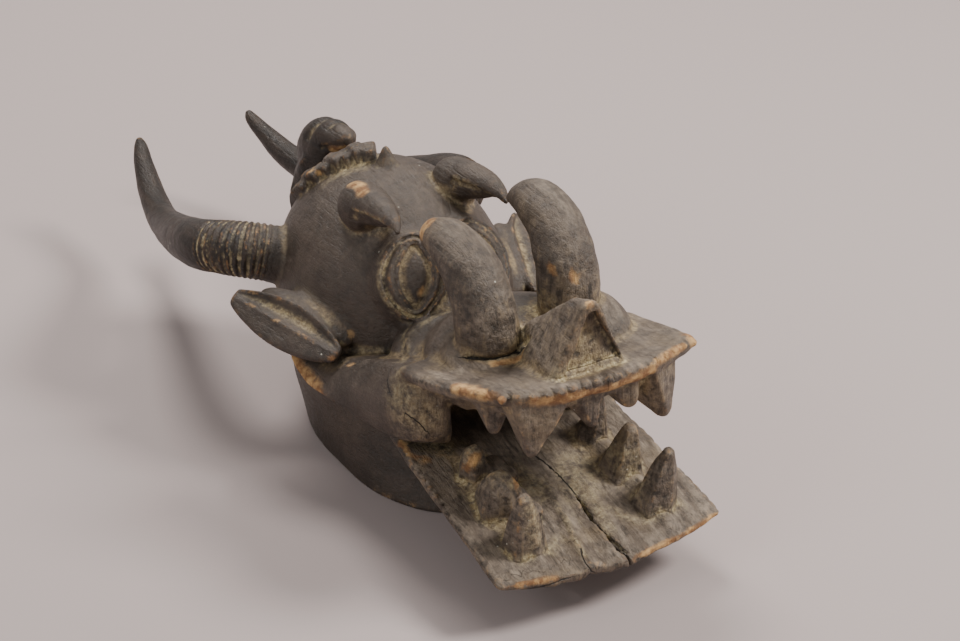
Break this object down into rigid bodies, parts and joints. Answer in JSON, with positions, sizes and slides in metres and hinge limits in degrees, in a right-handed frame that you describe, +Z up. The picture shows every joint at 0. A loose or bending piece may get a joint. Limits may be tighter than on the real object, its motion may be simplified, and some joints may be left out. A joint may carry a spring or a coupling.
{
  "type": "helmet mask",
  "caption": "Dark carved wood helmet mask with long toothed crocodile jaws, upright tusks, swept-back horns, leaf ears and small carved figures on its crown.",
  "frame": {"origin": "bottom centre of the bounding box, at the height of the floor that the rim stands on", "axes": "+Z up through the crown, -Y the way the mask looks along its jaws, -X the mask's own right side"},
  "size_m": [0.3548, 0.9124, 0.3446],
  "materials": {
    "wood": "dark patinated carved wood, satin on the dome, dusty on the jaws, pale where edges are worn"
  },
  "bodies": {
    "root": {"helmet_mask": "wood"}
  },
  "joints": []
}
